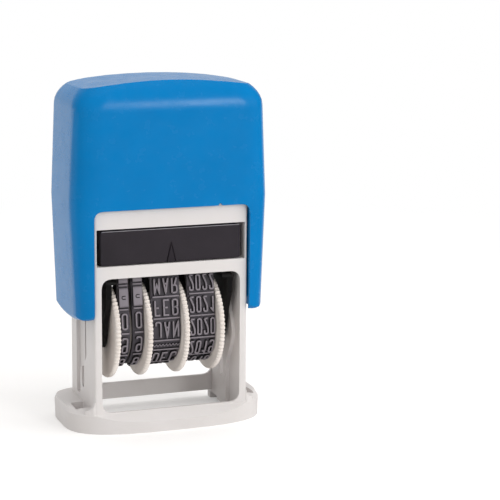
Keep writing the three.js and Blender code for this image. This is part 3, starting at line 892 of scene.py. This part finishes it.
def studio_floor():
    """White floor with the object's shadow, which fades into the white background"""
    corners = [(x * FLOOR_HALF, y * FLOOR_HALF, 0) for x, y in ((-1, -1), (1, -1), (1, 1), (-1, 1))]
    mesh = bpy.data.meshes.new("floor")
    mesh.from_pydata(corners, [], [(0, 1, 2, 3)])
    floor = bpy.data.objects.new("floor", mesh)
    bpy.context.scene.collection.objects.link(floor)
    material = bpy.data.materials.new("floor_white")
    material.use_nodes = True
    tree = material.node_tree
    shader = tree.nodes["Principled BSDF"]
    shader.inputs["Base Color"].default_value = FLOOR_COLOUR
    shader.inputs["Roughness"].default_value = 1
    shader.inputs["Specular IOR Level"].default_value = 0
    lit = tree.nodes.new("ShaderNodeAddShader")
    tree.links.new(shader.outputs[0], lit.inputs[0])
    tree.links.new(glow(tree, "ShaderNodeEmission", FLOOR_LIFT), lit.inputs[1])
    white = glow(tree, "ShaderNodeEmission", 1)
    dark = glow(tree, "ShaderNodeEmission", FRONT_DARK)
    place = tree.nodes.new("ShaderNodeTexCoord").outputs["Object"]
    distance = tree.nodes.new("ShaderNodeVectorMath")
    distance.operation = "LENGTH"
    tree.links.new(place, distance.inputs[0])
    away = tree.nodes.new("ShaderNodeMapRange")
    away.inputs["From Min"].default_value = FLOOR_FADE_START
    away.inputs["From Max"].default_value = FLOOR_FADE_END
    tree.links.new(distance.outputs["Value"], away.inputs["Value"])
    seen = mixed(tree, away.outputs["Result"], lit.outputs[0], white)
    mirrored = mixed(tree, ramp(tree, place, BACKGROUND_WAY, *FLOOR_TURN), dark, white)
    in_gloss = light_path(tree, "Is Glossy Ray", "Is Transmission Ray")
    unseen = mixed(tree, in_gloss, shader.outputs[0], mirrored)
    shown = mixed(tree, light_path(tree, "Is Camera Ray"), unseen, seen)
    tree.links.new(shown, tree.nodes["Material Output"].inputs[0])
    mesh.materials.append(material)


def studio_world():
    """Even light from all round, and the white background that the camera and gloss see"""
    world = bpy.data.worlds.new("studio")
    bpy.context.scene.world = world
    world.use_nodes = True
    tree = world.node_tree
    even = tree.nodes["Background"]
    even.inputs["Color"].default_value = WORLD_COLOUR
    even.inputs["Strength"].default_value = WORLD_LIGHT
    white = glow(tree, "ShaderNodeBackground", 1)
    dark = glow(tree, "ShaderNodeBackground", FRONT_DARK)
    way = tree.nodes.new("ShaderNodeTexCoord").outputs["Generated"]
    mirrored = mixed(tree, ramp(tree, way, BACKGROUND_WAY, *WORLD_TURN), dark, white)
    in_gloss = light_path(tree, "Is Glossy Ray", "Is Transmission Ray")
    unseen = mixed(tree, in_gloss, even.outputs[0], mirrored)
    shown = mixed(tree, light_path(tree, "Is Camera Ray"), unseen, white)
    tree.links.new(shown, tree.nodes["World Output"].inputs[0])


def lamp(name, place, target, size, energy, mirrored):
    """Square soft lamp that gloss shows or leaves out"""
    data = bpy.data.lights.new(name, "AREA")
    data.shape = "SQUARE"
    data.size = size
    data.energy = energy
    made = bpy.data.objects.new(name, data)
    bpy.context.scene.collection.objects.link(made)
    made.location = place
    made.visible_glossy = mirrored
    made.rotation_euler = (Vector(target) - Vector(place)).to_track_quat("-Z", "Y").to_euler()


def studio():
    """Pale floor and surroundings with three soft lamps"""
    bpy.context.scene.view_settings.view_transform = "Standard"
    studio_floor()
    studio_world()
    for name, (place, target, size, energy, mirrored) in LAMPS.items():
        lamp(name, place, target, size, energy, mirrored)


def photo_camera():
    """Camera with the place, turn and lens that were fitted to the photograph"""
    data = bpy.data.cameras.new("photo_camera")
    data.sensor_fit = "HORIZONTAL"
    data.sensor_width = CAMERA_SENSOR
    data.lens = CAMERA_LENS
    data.clip_start = CAMERA_NEAR
    made = bpy.data.objects.new("photo_camera", data)
    bpy.context.scene.collection.objects.link(made)
    turn = Matrix((CAMERA_RIGHT, CAMERA_UP, -Vector(CAMERA_FORWARD))).transposed()
    made.matrix_world = Matrix.Translation(Vector(CAMERA_PLACE) * MM) @ turn.to_4x4()
    bpy.context.scene.camera = made


studio()
photo_camera()

bpy.context.view_layer.update()
